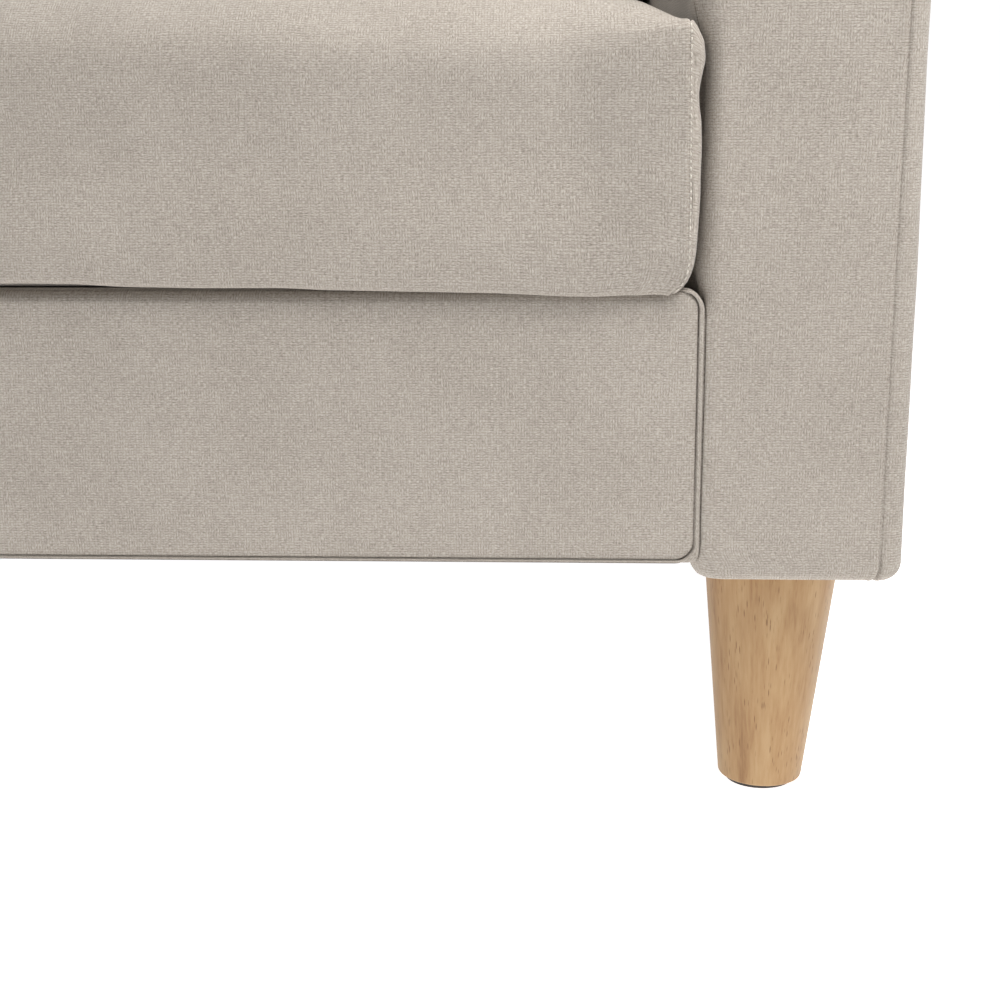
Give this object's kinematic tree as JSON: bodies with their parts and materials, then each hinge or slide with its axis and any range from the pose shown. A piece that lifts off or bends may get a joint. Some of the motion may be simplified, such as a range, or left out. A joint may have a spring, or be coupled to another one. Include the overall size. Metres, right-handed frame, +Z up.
{
  "type": "two-seat sofa",
  "caption": "Track-arm sofa in beige woven cloth with loose boxed seat and back cushions on short tapered wooden legs.",
  "frame": {"origin": "on the floor, under the middle of the sofa", "axes": "+X to the right seen from the front, +Y towards the back, +Z up"},
  "size_m": [1.45, 0.8, 0.84],
  "materials": {
    "cloth": "beige linen-look plain weave",
    "leg_wood": "light natural wood, satin lacquer",
    "frame_wood": "planed, unfinished",
    "steel": "zinc plated",
    "webbing": "elastic woven strap",
    "dust_cloth": "black cambric",
    "glide": "moulded"
  },
  "bodies": {
    "sofa_frame": {"arm_bolt_front_left": "steel", "arm_bolt_front_right": "steel", "arm_bolt_rear_left": "steel", "arm_bolt_rear_right": "steel", "back_front_pad": "cloth", "back_post_left": "frame_wood", "back_post_right": "frame_wood", "back_rear_panel": "cloth", "back_top_pad": "cloth", "back_top_rail": "frame_wood", "corner_block_front_left": "frame_wood", "corner_block_front_right": "frame_wood", "corner_block_rear_left": "frame_wood", "corner_block_rear_right": "frame_wood", "deck_pad": "cloth", "dust_cover": "dust_cloth", "foot_glide_front_left": "glide", "foot_glide_front_right": "glide", "foot_glide_rear_left": "glide", "foot_glide_rear_right": "glide", "front_rail_pad": "cloth", "front_seat_rail": "frame_wood", "left_arm_bottom_rail": "frame_wood", "left_arm_front_pad": "cloth", "left_arm_front_post": "frame_wood", "left_arm_inner_pad": "cloth", "left_arm_outer_pad": "cloth", "left_arm_rear_pad": "cloth", "left_arm_rear_post": "frame_wood", "left_arm_top_board": "frame_wood", "left_arm_top_pad": "cloth", "leg_bolt_front_left": "steel", "leg_bolt_front_right": "steel", "leg_bolt_rear_left": "steel", "leg_bolt_rear_right": "steel", "leg_front_left": "leg_wood", "leg_front_right": "leg_wood", "leg_rear_left": "leg_wood", "leg_rear_right": "leg_wood", "rear_seat_rail": "frame_wood", "right_arm_bottom_rail": "frame_wood", "right_arm_front_pad": "cloth", "right_arm_front_post": "frame_wood", "right_arm_inner_pad": "cloth", "right_arm_outer_pad": "cloth", "right_arm_rear_pad": "cloth", "right_arm_rear_post": "frame_wood", "right_arm_top_board": "frame_wood", "right_arm_top_pad": "cloth", "seat_centre_stretcher": "frame_wood", "seat_side_rail_left": "frame_wood", "seat_side_rail_right": "frame_wood", "seat_web_1": "webbing", "seat_web_2": "webbing", "seat_web_3": "webbing", "seat_web_4": "webbing"},
    "loose_seat_cushion_left": {"seat_cushion_left": "cloth"},
    "loose_seat_cushion_right": {"seat_cushion_right": "cloth"},
    "loose_back_cushion_left": {"back_cushion_left": "cloth"},
    "loose_back_cushion_right": {"back_cushion_right": "cloth"}
  },
  "joints": [
    {"name": "seat_cushion_left_pull", "type": "slide", "parent": "sofa_frame", "child": "loose_seat_cushion_left", "axis": [0, -1, 0], "range_m": [0, 0.25]},
    {"name": "seat_cushion_right_pull", "type": "slide", "parent": "sofa_frame", "child": "loose_seat_cushion_right", "axis": [0, -1, 0], "range_m": [0, 0.25]},
    {"name": "back_cushion_left_lift", "type": "slide", "parent": "sofa_frame", "child": "loose_back_cushion_left", "axis": [0, 0, 1], "range_m": [0, 0.25]},
    {"name": "back_cushion_right_lift", "type": "slide", "parent": "sofa_frame", "child": "loose_back_cushion_right", "axis": [0, 0, 1], "range_m": [0, 0.25]}
  ]
}
